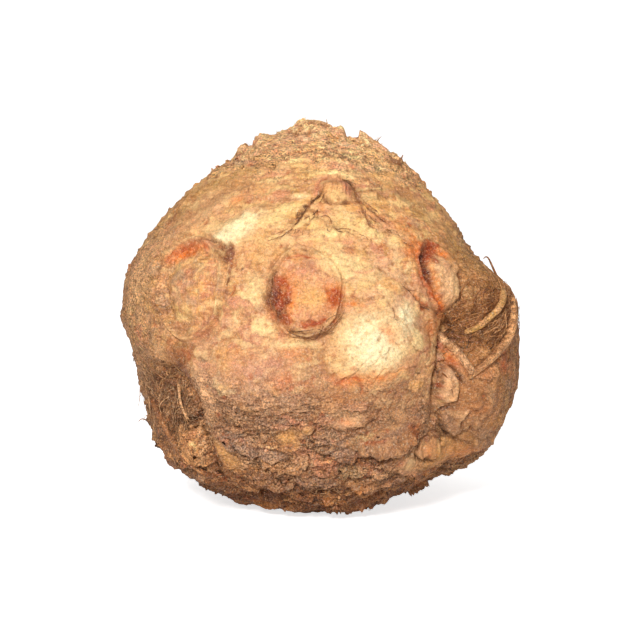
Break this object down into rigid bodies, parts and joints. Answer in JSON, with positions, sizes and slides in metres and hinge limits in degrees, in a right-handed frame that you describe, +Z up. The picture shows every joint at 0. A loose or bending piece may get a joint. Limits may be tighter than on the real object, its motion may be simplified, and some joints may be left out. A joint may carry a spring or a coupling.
{
  "type": "celeriac",
  "caption": "Round knobbly root vegetable with swollen lobes, round scars, side roots lying in its creases, trimmed root ends below and ragged cut leaf bases on top.",
  "frame": {"origin": "middle of the trimmed flat underside", "axes": "+Z up through the crown, -Y the front with three round scars, +X the side of the big lobe"},
  "size_m": [0.1254, 0.1204, 0.1224],
  "materials": {
    "skin": "matt corky skin with paler smooth swellings and rust-brown scars",
    "leaf_base": "matt dry torn stalk tissue",
    "side_root": "matt dry root skin",
    "root_stump": "matt rough cut root"
  },
  "bodies": {
    "root": {"tuber": "skin", "leaf_base_1": "leaf_base", "leaf_base_2": "leaf_base", "leaf_base_3": "leaf_base", "leaf_base_4": "leaf_base", "leaf_base_5": "leaf_base", "leaf_base_6": "leaf_base", "leaf_base_7": "leaf_base", "leaf_base_8": "leaf_base", "leaf_base_9": "leaf_base", "leaf_base_10": "leaf_base", "leaf_base_11": "leaf_base", "leaf_base_12": "leaf_base", "leaf_base_13": "leaf_base", "leaf_base_14": "leaf_base", "leaf_base_15": "leaf_base", "leaf_base_16": "leaf_base", "crown_heart": "leaf_base", "side_root_1": "side_root", "side_root_2": "side_root", "side_root_3": "side_root", "side_root_4": "side_root", "side_root_5": "side_root", "side_root_6": "side_root", "side_root_7": "side_root", "side_root_8": "side_root", "side_root_9": "side_root", "side_root_10": "side_root", "root_stump_1": "root_stump", "root_stump_2": "root_stump", "root_stump_3": "root_stump", "root_stump_4": "root_stump", "root_stump_5": "root_stump", "root_stump_6": "root_stump", "root_stump_7": "root_stump", "root_stump_8": "root_stump", "root_stump_9": "root_stump"}
  },
  "joints": []
}
